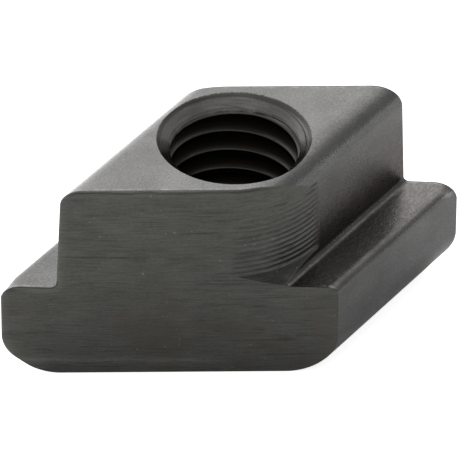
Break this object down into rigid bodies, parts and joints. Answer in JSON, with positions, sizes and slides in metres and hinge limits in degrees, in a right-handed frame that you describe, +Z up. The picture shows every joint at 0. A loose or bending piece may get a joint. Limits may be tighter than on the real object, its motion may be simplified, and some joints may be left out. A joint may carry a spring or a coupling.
{
  "type": "rhombus T-slot nut",
  "caption": "Blackened steel rhombus T-slot nut with an M8 through thread, obliquely sawn ends and milled blunt neck corners.",
  "frame": {"origin": "middle of the bottom face", "axes": "+X along the T-slot, +Y across it, +Z up the threaded bore towards the mouth of the slot"},
  "size_m": [0.022, 0.0146, 0.0121],
  "materials": {
    "steel": "satin black oxide on steel"
  },
  "bodies": {
    "root": {"t_slot_nut": "steel"}
  },
  "joints": []
}
